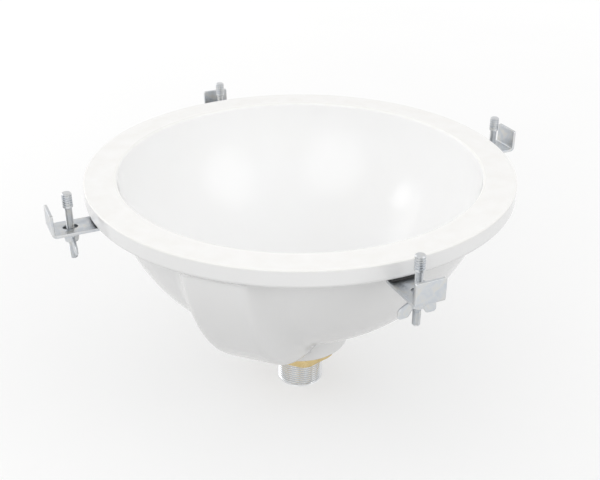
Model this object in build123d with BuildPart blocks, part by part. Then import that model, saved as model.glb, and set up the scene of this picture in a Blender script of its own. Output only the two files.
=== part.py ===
from build123d import *
import os
from math import asin, atan2, cos, degrees, radians, sin, sqrt

# Round undermount washbasin: a ceramic bowl with an overflow, its push-button waste,
# and the studs, clips and wing nuts that hold its rim up against a worktop.
# Origin: centre of the rim's ground top face. +Z is up, -Y is towards the person at the basin.

# Ceramic bowl
mouth_radius = 153.0
bowl_depth = 140.0
bowl_wall = 9.0
rim_width = 27.0
rim_thickness = 15.0
mouth_round = 2.5
rim_top_round = 1.2
rim_bottom_round = 3.5
rim_underside_round = 5.0

# Waste hole and the hollow ring around it that takes the overflow
waste_hole_clearance = 2.0
recess_clearance = 1.0
recess_edge_round = 0.8
web_thickness = 9.0
chamber_height = 14.0
chamber_width = 13.0
boss_wall = 8.0
boss_bottom_round = 3.0
boss_side_round = 9.0

# Overflow hole and the channel behind the front wall
overflow_depth = 32.0
overflow_hole_radius = 12.0
overflow_hole_lip = 3.0
channel_width = 40.0
channel_gap = 9.0
channel_corner = 3.0
channel_wall = 7.0
channel_overlap = 5.0
bulge_flare = 14.0
bulge_sink = 6.5
bulge_corner = 9.0

# Overflow ring and its grip
ring_overlap = 3.0
ring_flange_thickness = 2.4
ring_flange_round = 1.1
ring_sleeve_wall = 1.1
ring_sleeve_length = 7.5
ring_seat_clearance = 0.6
ring_seat_relief = 0.3
grip_clearance = 0.08
grip_thickness = 1.1
grip_length = 6.0
grip_rib_depth = 0.5
grip_rib_count = 3

# Slotted waste
thread_radius = 20.955
tube_wall = 2.9
waste_length = 80.0
waste_flange_width = 11.5
waste_flange_thickness = 3.0
waste_flange_round = 1.2
dish_border = 8.0
dish_depth = 2.0
tail_chamfer = 1.0
tail_groove_width = 1.5
tail_groove_depth = 0.9
slot_width = 20.0
slot_margin = 1.5
spider_drop = 44.0
spider_height = 6.0
spider_hub_wall = 3.5
spider_arm_width = 3.6
spider_arm_count = 3

# Waste seals and nut
gasket_thickness = 1.0
gasket_margin = 0.6
fit_clearance = 0.05
cone_flange_width = 9.0
cone_flange_thickness = 5.0
cone_spigot_height = 3.0
cone_spigot_clearance = 0.3
cone_bevel = 2.0
slip_washer_width = 9.0
slip_washer_thickness = 2.0
back_nut_wall = 6.5
back_nut_thickness = 9.0
back_nut_bevel = 1.2

# Push-button cartridge inside the waste
cartridge_drop = 10.0
cartridge_bore_radius = 6.2
cartridge_wall = 1.8
cartridge_floor = 3.0
cartridge_flat_depth = 0.7
cartridge_flats_height = 7.0
cartridge_stem_radius = 4.0
cartridge_stem_spare = 2.0
cartridge_nut_wall = 2.5
cartridge_nut_thickness = 4.0
collar_thickness = 4.0
collar_flange_thickness = 1.5
rib_count = 4
rib_width = 1.4
rib_depth = 0.4
rib_length = 9.0
rotor_clearance = 0.7
rotor_height = 5.0
rotor_tooth_count = 4
rotor_tooth_depth = 1.6
sliding_gap = 0.1
spring_wire_radius = 0.45
spring_radius = 4.0
spring_turns = 7.0

# Plug: plunger, lock nut, cap and its seal
plug_travel = 9.0
plunger_radius = 3.0
plunger_head_thickness = 4.0
plunger_pin_radius = 2.3
plunger_pin_length = 12.0
lock_nut_wall = 2.0
lock_nut_thickness = 3.0
cap_margin = 1.5
cap_edge_height = 2.2
cap_edge_round = 1.8
cap_dome_rise = 2.6
cap_skirt_depth = 1.5
cap_skirt_width = 3.0
cap_boss_wall = 4.0
cap_boss_length = 8.0
cap_thread_depth = 0.8
seal_thickness = 3.0
seal_web_thickness = 1.3
seal_lip_width = 4.0
seal_bevel = 1.8
seal_clearance = 0.3

# Worktop fixings
fixing_names = ("rear_right", "rear_left", "front_left", "front_right")
stud_offset = 16.0
stud_radius = 3.0
stud_drop = 44.0
stud_chamfer = 0.8
anchor_radius = 4.0
anchor_length = 12.0
clip_width = 24.0
clip_thickness = 2.5
clip_bearing = 12.0
clip_leg_offset = 14.0
clip_bend_round = 1.5
clip_toe_round = 5.0
clip_slot_length = 12.0
clip_slot_clearance = 0.5
pad_thickness = 2.0
pad_inset = 1.5
pad_corner = 1.5
washer_width = 6.0
washer_thickness = 1.5
washer_hole_clearance = 0.25
wing_nut_wall = 3.5
wing_nut_neck_wall = 2.2
wing_nut_height = 8.0
wing_span = 15.5
wing_tip_drop = 15.0
wing_tip_width = 8.0
wing_thickness = 2.4
wing_corner = 2.5

# How far a cutting shape runs past what it cuts
overrun = 5.0

# The bowl is part of a sphere that runs from the mouth to the lowest point
curve_radius = (mouth_radius**2 + bowl_depth**2) / (2 * bowl_depth)
curve_centre = curve_radius - bowl_depth
shell_radius = curve_radius + bowl_wall
rim_radius = mouth_radius + rim_width


def curve_height(radius, from_axis):
    """Height of a spherical bowl surface of this radius, at this distance from the axis."""
    return curve_centre - sqrt(radius**2 - from_axis**2)


def curve_reach(radius, height):
    """Distance from the axis of a spherical bowl surface of this radius, at this height."""
    return sqrt(radius**2 - (curve_centre - height) ** 2)


def curve_arc(radius, start, end):
    """Arc of the bowl's curve in the section plane, between two (distance, height) points."""
    start_angle = degrees(atan2(start[1] - curve_centre, start[0]))
    end_angle = degrees(atan2(end[1] - curve_centre, end[0]))
    return CenterArc((0, curve_centre), radius, start_angle, end_angle - start_angle)


def corner(shape, across, up):
    """The corner of a sketch nearest to a point in the sketch's own axes."""
    return shape.vertices().sort_by_distance(Vector(across, up))[0]


# Levels of the waste, from the flange down
waste_flange_radius = thread_radius + waste_flange_width
recess_radius = waste_flange_radius + recess_clearance
flange_top = curve_height(curve_radius, recess_radius)
seat_level = flange_top - waste_flange_thickness - gasket_thickness
hole_radius = thread_radius + waste_hole_clearance
chamber_top = seat_level - web_thickness
chamber_bottom = chamber_top - chamber_height
boss_bottom = chamber_bottom - web_thickness
chamber_radius = hole_radius + chamber_width
boss_radius = chamber_radius + boss_wall

# Overflow hole: its axis leaves the sphere's centre and slopes down towards the front
overflow_slope = asin((overflow_depth + curve_centre) / curve_radius)


def radial_plane(slope):
    """Plane through the curve's centre whose normal points to the front and down at this slope."""
    normal = (0, -cos(slope), -sin(slope))
    return Plane(origin=(0, 0, curve_centre), x_dir=(1, 0, 0), z_dir=normal)


def channel_plane(slope):
    """Plane across the channel at this slope, its second axis pointing away from the curve's centre."""
    return Plane(origin=(0, 0, curve_centre), x_dir=(1, 0, 0), z_dir=(0, sin(slope), -cos(slope)))


ring_flange_radius = overflow_hole_radius + ring_overlap
channel_axis = Axis((0, 0, curve_centre), (1, 0, 0))
channel_floor = shell_radius + channel_gap
crown_radius = channel_floor + channel_wall

# Ceramic bowl: the rim, shell and boss as one turned solid, then the channel's bulge
with BuildPart() as ceramic_bowl:
    shell_start = (curve_reach(shell_radius, -rim_thickness), -rim_thickness)
    shell_end = (boss_radius, curve_height(shell_radius, boss_radius))
    with BuildSketch(Plane.XZ) as outside:
        with BuildLine():
            Polyline((0, 0), (rim_radius, 0), (rim_radius, -rim_thickness), shell_start)
            curve_arc(shell_radius, shell_start, shell_end)
            Polyline(shell_end, (boss_radius, boss_bottom), (0, boss_bottom), (0, 0))
        make_face()
        fillet(corner(outside, rim_radius, 0), rim_top_round)
        fillet(corner(outside, rim_radius, -rim_thickness), rim_bottom_round)
        fillet(corner(outside, *shell_start), rim_underside_round)
        fillet(corner(outside, *shell_end), boss_side_round)
        fillet(corner(outside, boss_radius, boss_bottom), boss_bottom_round)
    revolve(axis=Axis.Z)

    # The bulge starts inside the rim's thickness and ends inside the boss
    bulge_start = asin((curve_centre + rim_thickness / 2) / crown_radius)
    bulge_end = radians(90) - asin(hole_radius / crown_radius)
    crown_half = channel_width / 2 + channel_wall - channel_corner
    with BuildSketch(channel_plane(bulge_start)) as bulge_section:
        with BuildLine():
            Polyline(
                (-crown_half - bulge_flare, shell_radius - bulge_sink),
                (-crown_half, crown_radius),
                (crown_half, crown_radius),
                (crown_half + bulge_flare, shell_radius - bulge_sink),
                close=True,
            )
        make_face()
        fillet(corner(bulge_section, -crown_half, crown_radius), bulge_corner)
        fillet(corner(bulge_section, crown_half, crown_radius), bulge_corner)
    revolve(axis=channel_axis, revolution_arc=degrees(bulge_end - bulge_start))

    # Inside of the bowl, the waste hole and the hollow ring round it
    with BuildSketch(Plane.XZ) as inside:
        mouth = (mouth_radius, 0)
        recess = (recess_radius, flange_top)
        with BuildLine():
            Polyline((0, 0), mouth)
            curve_arc(curve_radius, mouth, recess)
            Polyline(
                recess,
                (recess_radius, seat_level),
                (hole_radius, seat_level),
                (hole_radius, chamber_top),
                (chamber_radius, chamber_top),
                (chamber_radius, chamber_bottom),
                (hole_radius, chamber_bottom),
                (hole_radius, boss_bottom),
                (0, boss_bottom),
                (0, 0),
            )
        make_face()
        fillet(corner(inside, *recess), recess_edge_round)
    revolve(axis=Axis.Z, mode=Mode.SUBTRACT)

    # Overflow channel, from above the overflow hole down into the hollow ring
    channel_start = overflow_slope - (overflow_hole_radius + overflow_hole_lip) / shell_radius
    channel_end = radians(90) - asin((chamber_radius - channel_overlap) / channel_floor)
    with BuildSketch(channel_plane(channel_start)):
        with Locations((0, shell_radius + channel_gap / 2)):
            RectangleRounded(channel_width, channel_gap, channel_corner)
    revolve(
        axis=channel_axis,
        revolution_arc=degrees(channel_end - channel_start),
        mode=Mode.SUBTRACT,
    )

    # Overflow hole and the flat seat of its ring
    with BuildSketch(radial_plane(overflow_slope).offset(curve_radius - overrun)):
        Circle(overflow_hole_radius)
    extrude(amount=overrun + bowl_wall + channel_gap / 2, mode=Mode.SUBTRACT)
    with BuildSketch(radial_plane(overflow_slope).offset(curve_radius - overrun)):
        Circle(ring_flange_radius + ring_seat_clearance)
    extrude(amount=overrun + ring_seat_relief, mode=Mode.SUBTRACT)

    top_edges = ceramic_bowl.edges().filter_by(GeomType.CIRCLE).group_by(Axis.Z)[-1]
    fillet(top_edges.sort_by(SortBy.RADIUS)[0], mouth_round)
ceramic_bowl.part.label = "ceramic_bowl"

# Overflow ring: a rounded flange on the flat seat and a sleeve through the hole
ring_seat = radial_plane(overflow_slope).offset(curve_radius + ring_seat_relief)
grip_outer = overflow_hole_radius - grip_clearance
grip_inner = grip_outer - grip_thickness
sleeve_radius = grip_inner - grip_clearance
ring_bore_radius = sleeve_radius - ring_sleeve_wall
with BuildPart() as overflow_ring:
    with BuildSketch(ring_seat):
        Circle(ring_flange_radius)
    extrude(amount=-ring_flange_thickness)
    with BuildSketch(ring_seat):
        Circle(sleeve_radius)
    extrude(amount=ring_sleeve_length)
    with BuildSketch(ring_seat.offset(-ring_flange_thickness - overrun)):
        Circle(ring_bore_radius)
    extrude(amount=ring_flange_thickness + ring_sleeve_length + 2 * overrun, mode=Mode.SUBTRACT)
    front = overflow_ring.faces().sort_by(Axis(ring_seat.origin, ring_seat.z_dir))[0]
    fillet(front.edges(), ring_flange_round)
overflow_ring.part.label = "overflow_ring"

# Rubber grip that holds the ring's sleeve in the hole
with BuildPart() as overflow_grip:
    with BuildSketch(ring_seat.offset(grip_clearance)):
        Circle(grip_outer)
        Circle(grip_inner, mode=Mode.SUBTRACT)
    extrude(amount=grip_length)
    groove_pitch = grip_length / (2 * grip_rib_count)
    for groove in range(grip_rib_count):
        with BuildSketch(ring_seat.offset(grip_clearance + groove_pitch + 2 * groove * groove_pitch)):
            Circle(grip_outer + overrun)
            Circle(grip_outer - grip_rib_depth, mode=Mode.SUBTRACT)
        extrude(amount=groove_pitch, mode=Mode.SUBTRACT)
overflow_grip.part.label = "overflow_grip"

# Stack under the boss: rubber washer, slip washer and back nut
cone_bottom = boss_bottom - cone_flange_thickness
back_nut_top = cone_bottom - slip_washer_thickness
back_nut_bottom = back_nut_top - back_nut_thickness

# Slotted waste body: flange, tube with two overflow slots, and the spider across its bore.
# A groove below the back nut marks where the free tail for the trap begins.
bore_radius = thread_radius - tube_wall
dish_radius = waste_flange_radius - dish_border
tail_end = flange_top - waste_length
flange_underside = flange_top - waste_flange_thickness
groove_radius = thread_radius - tail_groove_depth
groove_top = back_nut_bottom - tail_groove_width / 2
with BuildPart() as waste_body:
    with BuildSketch(Plane.XZ) as tube:
        with BuildLine():
            Polyline(
                (dish_radius, flange_top),
                (waste_flange_radius, flange_top),
                (waste_flange_radius, flange_underside),
                (thread_radius, flange_underside),
                (thread_radius, groove_top),
                (groove_radius, groove_top),
                (groove_radius, groove_top - tail_groove_width),
                (thread_radius, groove_top - tail_groove_width),
                (thread_radius, tail_end + tail_chamfer),
                (thread_radius - tail_chamfer, tail_end),
                (bore_radius, tail_end),
                (bore_radius, flange_top - dish_depth),
                close=True,
            )
        make_face()
        fillet(corner(tube, waste_flange_radius, flange_top), waste_flange_round)
    revolve(axis=Axis.Z)

    slot_height = chamber_height - 2 * slot_margin
    with Locations((0, 0, (chamber_top + chamber_bottom) / 2)):
        Box(slot_width, 2 * (thread_radius + overrun), slot_height, mode=Mode.SUBTRACT)

    spider_bottom = flange_top - spider_drop - spider_height
    with BuildSketch(Plane.XY.offset(spider_bottom)):
        Circle(cartridge_stem_radius + spider_hub_wall)
        with PolarLocations(0, spider_arm_count, start_angle=90):
            Rectangle(bore_radius + tube_wall / 2, spider_arm_width, align=(Align.MIN, Align.CENTER))
        Circle(cartridge_stem_radius + fit_clearance, mode=Mode.SUBTRACT)
    extrude(amount=spider_height)
waste_body.part.label = "waste_body"

# Gasket under the waste's flange
with BuildPart() as flange_gasket:
    with BuildSketch(Plane.XY.offset(seat_level)):
        Circle(waste_flange_radius - gasket_margin)
        Circle(thread_radius + gasket_margin, mode=Mode.SUBTRACT)
    extrude(amount=gasket_thickness)
flange_gasket.part.label = "flange_gasket"

# Tapered rubber washer: a spigot up into the ceramic hole and a flange against the boss
nut_bore = thread_radius + fit_clearance
cone_radius = nut_bore + cone_flange_width
with BuildPart() as cone_washer:
    with BuildSketch(Plane.XZ):
        with BuildLine():
            Polyline(
                (nut_bore, boss_bottom + cone_spigot_height),
                (hole_radius - 2 * cone_spigot_clearance, boss_bottom + cone_spigot_height),
                (hole_radius - cone_spigot_clearance, boss_bottom),
                (cone_radius - cone_bevel, boss_bottom),
                (cone_radius, boss_bottom - cone_bevel),
                (cone_radius, cone_bottom),
                (nut_bore, cone_bottom),
                close=True,
            )
        make_face()
    revolve(axis=Axis.Z)
cone_washer.part.label = "cone_washer"

# Slippery washer between the rubber and the nut
with BuildPart() as slip_washer:
    with BuildSketch(Plane.XY.offset(cone_bottom)):
        Circle(nut_bore + slip_washer_width)
        Circle(nut_bore, mode=Mode.SUBTRACT)
    extrude(amount=-slip_washer_thickness)
slip_washer.part.label = "slip_washer"

# Back nut: a hexagon whose corners are bevelled on both faces
back_nut_flat = nut_bore + back_nut_wall
nut_corner_radius = back_nut_flat / cos(radians(30))
with BuildPart() as back_nut:
    with BuildSketch(Plane.XY.offset(back_nut_bottom)):
        RegularPolygon(back_nut_flat, side_count=6, major_radius=False)
    extrude(amount=back_nut_thickness)
    with BuildSketch(Plane.XZ):
        with BuildLine():
            Polyline(
                (0, back_nut_top),
                (nut_corner_radius - 2 * back_nut_bevel, back_nut_top),
                (nut_corner_radius, back_nut_top - back_nut_bevel),
                (nut_corner_radius, back_nut_bottom + back_nut_bevel),
                (nut_corner_radius - 2 * back_nut_bevel, back_nut_bottom),
                (0, back_nut_bottom),
                close=True,
            )
        make_face()
    revolve(axis=Axis.Z, mode=Mode.INTERSECT)
    with BuildSketch(Plane.XY.offset(back_nut_bottom)):
        Circle(nut_bore)
    extrude(amount=back_nut_thickness, mode=Mode.SUBTRACT)
back_nut.part.label = "back_nut"

# Cartridge levels, from its collar down to the stem under the spider
cartridge_radius = cartridge_bore_radius + cartridge_wall
cartridge_top = flange_top - cartridge_drop
cartridge_bottom = flange_top - spider_drop
collar_bottom = cartridge_top - collar_thickness
cup_top = cartridge_top - collar_flange_thickness
cup_floor = cartridge_bottom + cartridge_floor
stem_end = spider_bottom - cartridge_nut_thickness - cartridge_stem_spare

# Cartridge body: a cup on a stem, with guide ribs inside and two flats outside
with BuildPart() as cartridge_body:
    with BuildSketch(Plane.XZ):
        with BuildLine():
            Polyline(
                (0, stem_end),
                (cartridge_stem_radius, stem_end),
                (cartridge_stem_radius, cartridge_bottom),
                (cartridge_radius, cartridge_bottom),
                (cartridge_radius, cup_top),
                (cartridge_bore_radius, cup_top),
                (cartridge_bore_radius, cup_floor),
                (0, cup_floor),
                close=True,
            )
        make_face()
    revolve(axis=Axis.Z)
    with BuildSketch(Plane.XY.offset(collar_bottom)):
        with PolarLocations(cartridge_bore_radius - rib_depth, rib_count):
            Rectangle(rib_depth + cartridge_wall / 2, rib_width, align=(Align.MIN, Align.CENTER))
    extrude(amount=-rib_length)
    flat_reach = cartridge_radius - cartridge_flat_depth
    for side in (-1, 1):
        with BuildSketch(Plane.XY.offset(cartridge_bottom)):
            with Locations((side * (flat_reach + overrun / 2), 0)):
                Rectangle(overrun, 2 * cartridge_radius)
        extrude(amount=cartridge_flats_height, mode=Mode.SUBTRACT)
cartridge_body.part.label = "cartridge_body"

# Collar screwed into the top of the cup, which keeps the plunger in
plunger_bore = plunger_radius + fit_clearance
with BuildPart() as cartridge_collar:
    with BuildSketch(Plane.XY.offset(cup_top)):
        Circle(cartridge_radius)
    extrude(amount=collar_flange_thickness)
    with BuildSketch(Plane.XY.offset(collar_bottom)):
        Circle(cartridge_bore_radius - fit_clearance)
    extrude(amount=cup_top - collar_bottom)
    with BuildSketch(Plane.XY.offset(collar_bottom)):
        Circle(plunger_bore)
    extrude(amount=collar_thickness, mode=Mode.SUBTRACT)
cartridge_collar.part.label = "cartridge_collar"

# Nut that holds the cartridge's stem under the spider
stem_bore = cartridge_stem_radius + fit_clearance
with BuildPart() as cartridge_nut:
    with BuildSketch(Plane.XY.offset(spider_bottom)):
        RegularPolygon(stem_bore + cartridge_nut_wall, side_count=6, major_radius=False)
        Circle(stem_bore, mode=Mode.SUBTRACT)
    extrude(amount=-cartridge_nut_thickness)
cartridge_nut.part.label = "cartridge_nut"

# Plug levels with the plug up, as it stands when the basin drains
head_top = collar_bottom - sliding_gap
head_bottom = head_top - plunger_head_thickness
rotor_top = head_bottom - sliding_gap
rotor_bottom = rotor_top - rotor_height
seal_bottom = flange_top + plug_travel + sliding_gap
cap_underside = seal_bottom + seal_thickness
boss_end = cap_underside - cap_boss_length
thread_end = cap_underside + cap_thread_depth

# Plunger: a rod from the cap down to a head in the cup, with a pin that guides the spring
with BuildPart() as plunger:
    with BuildSketch(Plane.XZ):
        with BuildLine():
            head_radius = cartridge_bore_radius - rotor_clearance
            Polyline(
                (0, thread_end),
                (plunger_radius, thread_end),
                (plunger_radius, head_top),
                (head_radius, head_top),
                (head_radius, head_bottom),
                (plunger_pin_radius, head_bottom),
                (plunger_pin_radius, head_bottom - plunger_pin_length),
                (0, head_bottom - plunger_pin_length),
                close=True,
            )
        make_face()
    revolve(axis=Axis.Z)
plunger.part.label = "plunger"

# Rotor: a ring with saw teeth on its lower face, which turns as the plug is pressed
with BuildPart() as cartridge_rotor:
    with BuildSketch(Plane.XY.offset(rotor_bottom)):
        Circle(head_radius)
        Circle(plunger_pin_radius + fit_clearance, mode=Mode.SUBTRACT)
    extrude(amount=rotor_height)
    for tooth in range(rotor_tooth_count):
        bearing = radians(360 / rotor_tooth_count * tooth)
        along = (-sin(bearing), cos(bearing), 0)
        outward = (cos(bearing), sin(bearing), 0)
        with BuildSketch(Plane(origin=(0, 0, rotor_bottom), x_dir=along, z_dir=outward)):
            with BuildLine():
                Polyline((0, 0), (0, rotor_tooth_depth), (head_radius, 0), close=True)
            make_face()
        extrude(amount=head_radius + overrun, mode=Mode.SUBTRACT)
cartridge_rotor.part.label = "cartridge_rotor"

# Compression spring between the rotor and the cup's floor
spring_low = cup_floor + spring_wire_radius + sliding_gap
spring_high = rotor_bottom - spring_wire_radius - sliding_gap
with BuildPart() as cartridge_spring:
    with BuildLine() as coil:
        Helix(
            pitch=(spring_high - spring_low) / spring_turns,
            height=spring_high - spring_low,
            radius=spring_radius,
            center=(0, 0, spring_low),
        )
    with BuildSketch(Plane(origin=coil.line @ 0, z_dir=coil.line % 0)):
        Circle(spring_wire_radius)
    sweep(path=coil.line, is_frenet=True)
cartridge_spring.part.label = "cartridge_spring"

# Lock nut that sets the cap's height on the plunger
with BuildPart() as plunger_lock_nut:
    with BuildSketch(Plane.XY.offset(boss_end)):
        RegularPolygon(plunger_bore + lock_nut_wall, side_count=6, major_radius=False)
        Circle(plunger_bore, mode=Mode.SUBTRACT)
    extrude(amount=-lock_nut_thickness)
plunger_lock_nut.part.label = "plunger_lock_nut"

# Plug cap: a shallow dome with a skirt round the seal and a threaded boss
cap_radius = waste_flange_radius - cap_margin
cap_boss_radius = plunger_radius + cap_boss_wall
with BuildPart() as plug_cap:
    edge_level = cap_underside + cap_edge_height
    dome_top = edge_level + cap_dome_rise
    dome_radius = (cap_radius**2 + cap_dome_rise**2) / (2 * cap_dome_rise)
    dome_half = (cap_radius / 2, dome_top - dome_radius + sqrt(dome_radius**2 - cap_radius**2 / 4))
    skirt_inner = cap_radius - cap_skirt_width
    with BuildSketch(Plane.XZ) as cap_section:
        with BuildLine():
            ThreePointArc((0, dome_top), dome_half, (cap_radius, edge_level))
            Polyline(
                (cap_radius, edge_level),
                (cap_radius, cap_underside - cap_skirt_depth),
                (skirt_inner, cap_underside - cap_skirt_depth),
                (skirt_inner, cap_underside),
                (cap_boss_radius, cap_underside),
                (cap_boss_radius, boss_end),
                (plunger_bore, boss_end),
                (plunger_bore, thread_end),
                (0, thread_end),
                (0, dome_top),
            )
        make_face()
        fillet(corner(cap_section, cap_radius, edge_level), cap_edge_round)
    revolve(axis=Axis.Z)
plug_cap.part.label = "plug_cap"

# Rubber seal under the cap: a flat web round the boss and a lip that meets the flange
seal_inner = cap_boss_radius + fit_clearance
seal_outer = skirt_inner - seal_clearance
with BuildPart() as plug_seal:
    with BuildSketch(Plane.XZ):
        with BuildLine():
            Polyline(
                (seal_inner, cap_underside),
                (seal_outer, cap_underside),
                (seal_outer, seal_bottom),
                (seal_outer - seal_lip_width, seal_bottom),
                (seal_outer - seal_lip_width - seal_bevel, cap_underside - seal_web_thickness),
                (seal_inner, cap_underside - seal_web_thickness),
                close=True,
            )
        make_face()
    revolve(axis=Axis.Z)
plug_seal.part.label = "plug_seal"

# Worktop fixings: levels from the rim's underside down
stud_circle_radius = rim_radius + stud_offset
clip_top = -rim_thickness - pad_thickness
clip_bottom = clip_top - clip_thickness
washer_bottom = clip_bottom - washer_thickness
nut_bottom = washer_bottom - wing_nut_height
toe_reach = stud_offset + clip_bearing
pad_length = clip_bearing - 2 * pad_inset

# Each stud's place: on a diagonal, with its first axis pointing away from the bowl
fixing_step = 360 / len(fixing_names)
stud_places = {}
for index, name in enumerate(fixing_names):
    bearing = radians(fixing_step * index + fixing_step / 2)
    outward = Vector(cos(bearing), sin(bearing), 0)
    stud_places[name] = Plane(origin=outward * stud_circle_radius, x_dir=outward, z_dir=(0, 0, 1))
stud_feet = [place.origin for place in stud_places.values()]

# Studs, each with a thicker anchor end that is set in the worktop
with BuildPart() as fixing_studs:
    with BuildSketch(Plane.XY.offset(-stud_drop)):
        with Locations(*stud_feet):
            Circle(stud_radius)
    extrude(amount=stud_drop)
    with BuildSketch(Plane.XY):
        with Locations(*stud_feet):
            Circle(anchor_radius)
    extrude(amount=anchor_length)
    stud_ends = fixing_studs.faces().filter_by(Axis.Z).group_by(Axis.Z)
    chamfer(stud_ends[0].edges() + stud_ends[-1].edges(), stud_chamfer)
fixing_studs.part.label = "fixing_studs"

# Washers between the clips and the wing nuts
with BuildPart() as fixing_washers:
    with BuildSketch(Plane.XY.offset(washer_bottom)):
        with Locations(*stud_feet):
            Circle(stud_radius + washer_width)
            Circle(stud_radius + washer_hole_clearance, mode=Mode.SUBTRACT)
    extrude(amount=washer_thickness)
fixing_washers.part.label = "fixing_washers"


def make_clip(place):
    """Steel clip: its toe lies under the rim, its leg stands up to the worktop outside the stud."""
    side = Plane(origin=place.origin, x_dir=place.x_dir, z_dir=-place.y_dir)
    leg_outside = clip_leg_offset + clip_thickness
    with BuildPart() as clip:
        with BuildSketch(side) as section:
            with BuildLine():
                Polyline(
                    (-toe_reach, clip_top),
                    (clip_leg_offset, clip_top),
                    (clip_leg_offset, 0),
                    (leg_outside, 0),
                    (leg_outside, clip_bottom),
                    (-toe_reach, clip_bottom),
                    close=True,
                )
            make_face()
            fillet(corner(section, clip_leg_offset, clip_top), clip_bend_round)
            fillet(corner(section, leg_outside, clip_bottom), clip_bend_round + clip_thickness)
        extrude(amount=clip_width / 2, both=True)
        upright = clip.edges().filter_by(Axis.Z)
        fillet(upright.sort_by_distance(place.origin - place.x_dir * toe_reach)[0:2], clip_toe_round)
        with BuildSketch(place.offset(clip_bottom)):
            SlotOverall(clip_slot_length, 2 * (stud_radius + clip_slot_clearance))
        extrude(amount=clip_thickness, mode=Mode.SUBTRACT)
    return clip.part


def make_pad(place):
    """Rubber pad between a clip's toe and the ceramic rim."""
    with BuildPart() as pad:
        with BuildSketch(place.offset(clip_top)):
            with Locations((-toe_reach + pad_inset + pad_length / 2, 0)):
                RectangleRounded(pad_length, clip_width - 2 * pad_inset, pad_corner)
        extrude(amount=pad_thickness)
    return pad.part


def make_wing_nut(place):
    """Wing nut with its wings turned down, away from the clip."""
    top_radius = stud_radius + wing_nut_wall
    neck_radius = stud_radius + wing_nut_neck_wall
    side = Plane(origin=place.origin, x_dir=place.y_dir, z_dir=place.x_dir)
    with BuildPart() as nut:
        with BuildSketch(side):
            with BuildLine():
                Polyline(
                    (0, washer_bottom),
                    (top_radius, washer_bottom),
                    (neck_radius, nut_bottom),
                    (0, nut_bottom),
                    close=True,
                )
            make_face()
        revolve(axis=Axis(place.origin, place.z_dir))
        for hand in (-1, 1):
            with BuildSketch(side) as wing:
                with BuildLine():
                    root = hand * (stud_radius + wing_nut_neck_wall / 2)
                    tip = hand * wing_span
                    tip_inner = hand * (wing_span - wing_tip_width)
                    Polyline(
                        (root, washer_bottom - wing_nut_height / 4),
                        (tip, washer_bottom - wing_tip_drop / 2),
                        (tip, washer_bottom - wing_tip_drop),
                        (tip_inner, washer_bottom - wing_tip_drop),
                        (root, nut_bottom),
                        close=True,
                    )
                make_face()
                fillet(corner(wing, tip, washer_bottom - wing_tip_drop / 2), wing_corner)
                fillet(corner(wing, tip, washer_bottom - wing_tip_drop), wing_corner)
                fillet(corner(wing, tip_inner, washer_bottom - wing_tip_drop), wing_corner)
            extrude(amount=wing_thickness / 2, both=True)
        with BuildSketch(place.offset(washer_bottom)):
            Circle(stud_radius + fit_clearance)
        extrude(amount=-wing_nut_height - wing_tip_drop, mode=Mode.SUBTRACT)
    return nut.part


os.makedirs("parts", exist_ok=True)
fixed_pieces = (
    ceramic_bowl,
    overflow_ring,
    overflow_grip,
    waste_body,
    flange_gasket,
    cone_washer,
    slip_washer,
    back_nut,
    cartridge_body,
    cartridge_collar,
    cartridge_nut,
    plunger,
    cartridge_rotor,
    cartridge_spring,
    plunger_lock_nut,
    plug_cap,
    plug_seal,
    fixing_studs,
    fixing_washers,
)
for piece in fixed_pieces:
    export_step(piece.part, f"parts/{piece.part.label}.step")

for name, place in stud_places.items():
    for kind, make in (("clip", make_clip), ("clip_pad", make_pad), ("wing_nut", make_wing_nut)):
        shape = make(place)
        shape.label = f"{kind}_{name}"
        export_step(shape, f"parts/{shape.label}.step")
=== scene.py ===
import math

import bmesh
import bpy
import numpy as np
from mathutils import Matrix, Vector


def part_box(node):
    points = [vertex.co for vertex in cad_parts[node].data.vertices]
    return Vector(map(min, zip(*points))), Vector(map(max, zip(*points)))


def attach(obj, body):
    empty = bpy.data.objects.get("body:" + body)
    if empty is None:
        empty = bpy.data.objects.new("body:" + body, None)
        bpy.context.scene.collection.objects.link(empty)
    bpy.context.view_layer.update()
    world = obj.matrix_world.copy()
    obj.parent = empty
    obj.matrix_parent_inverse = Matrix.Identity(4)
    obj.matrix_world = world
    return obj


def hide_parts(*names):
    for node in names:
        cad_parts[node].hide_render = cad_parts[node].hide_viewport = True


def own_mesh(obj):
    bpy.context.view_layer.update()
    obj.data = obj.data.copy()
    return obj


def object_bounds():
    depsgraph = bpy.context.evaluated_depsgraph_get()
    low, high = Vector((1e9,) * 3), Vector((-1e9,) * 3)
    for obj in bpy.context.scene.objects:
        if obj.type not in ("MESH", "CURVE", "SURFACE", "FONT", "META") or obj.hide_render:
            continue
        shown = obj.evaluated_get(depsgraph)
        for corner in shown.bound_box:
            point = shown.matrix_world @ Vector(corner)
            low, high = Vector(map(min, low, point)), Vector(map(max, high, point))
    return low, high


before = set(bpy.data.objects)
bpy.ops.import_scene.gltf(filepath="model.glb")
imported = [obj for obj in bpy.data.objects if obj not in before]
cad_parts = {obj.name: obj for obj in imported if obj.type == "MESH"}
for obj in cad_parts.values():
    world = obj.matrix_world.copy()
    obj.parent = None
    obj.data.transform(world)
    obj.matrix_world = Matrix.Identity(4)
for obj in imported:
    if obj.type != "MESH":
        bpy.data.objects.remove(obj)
cad_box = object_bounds()

# Undermount ceramic basin with its waste, overflow and worktop fixings, on a plain pale floor.
# Sizes are in millimetres, as in the CAD source, and a mesh is scaled to metres when it is made.
MM = 0.001
TURN = 2 * math.pi

# Shared values: rounds, slack in comparing levels and slopes, and the flat share of a thread's crest
fine_round = 0.2
small_round = 0.3
rolled_round = 0.4
half_round = 0.5
root_round = 0.6
soft_round = 0.8
broad_round = 1.0
level_slack = 0.01
flat_enough = 0.999
thread_flat = 0.14


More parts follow.
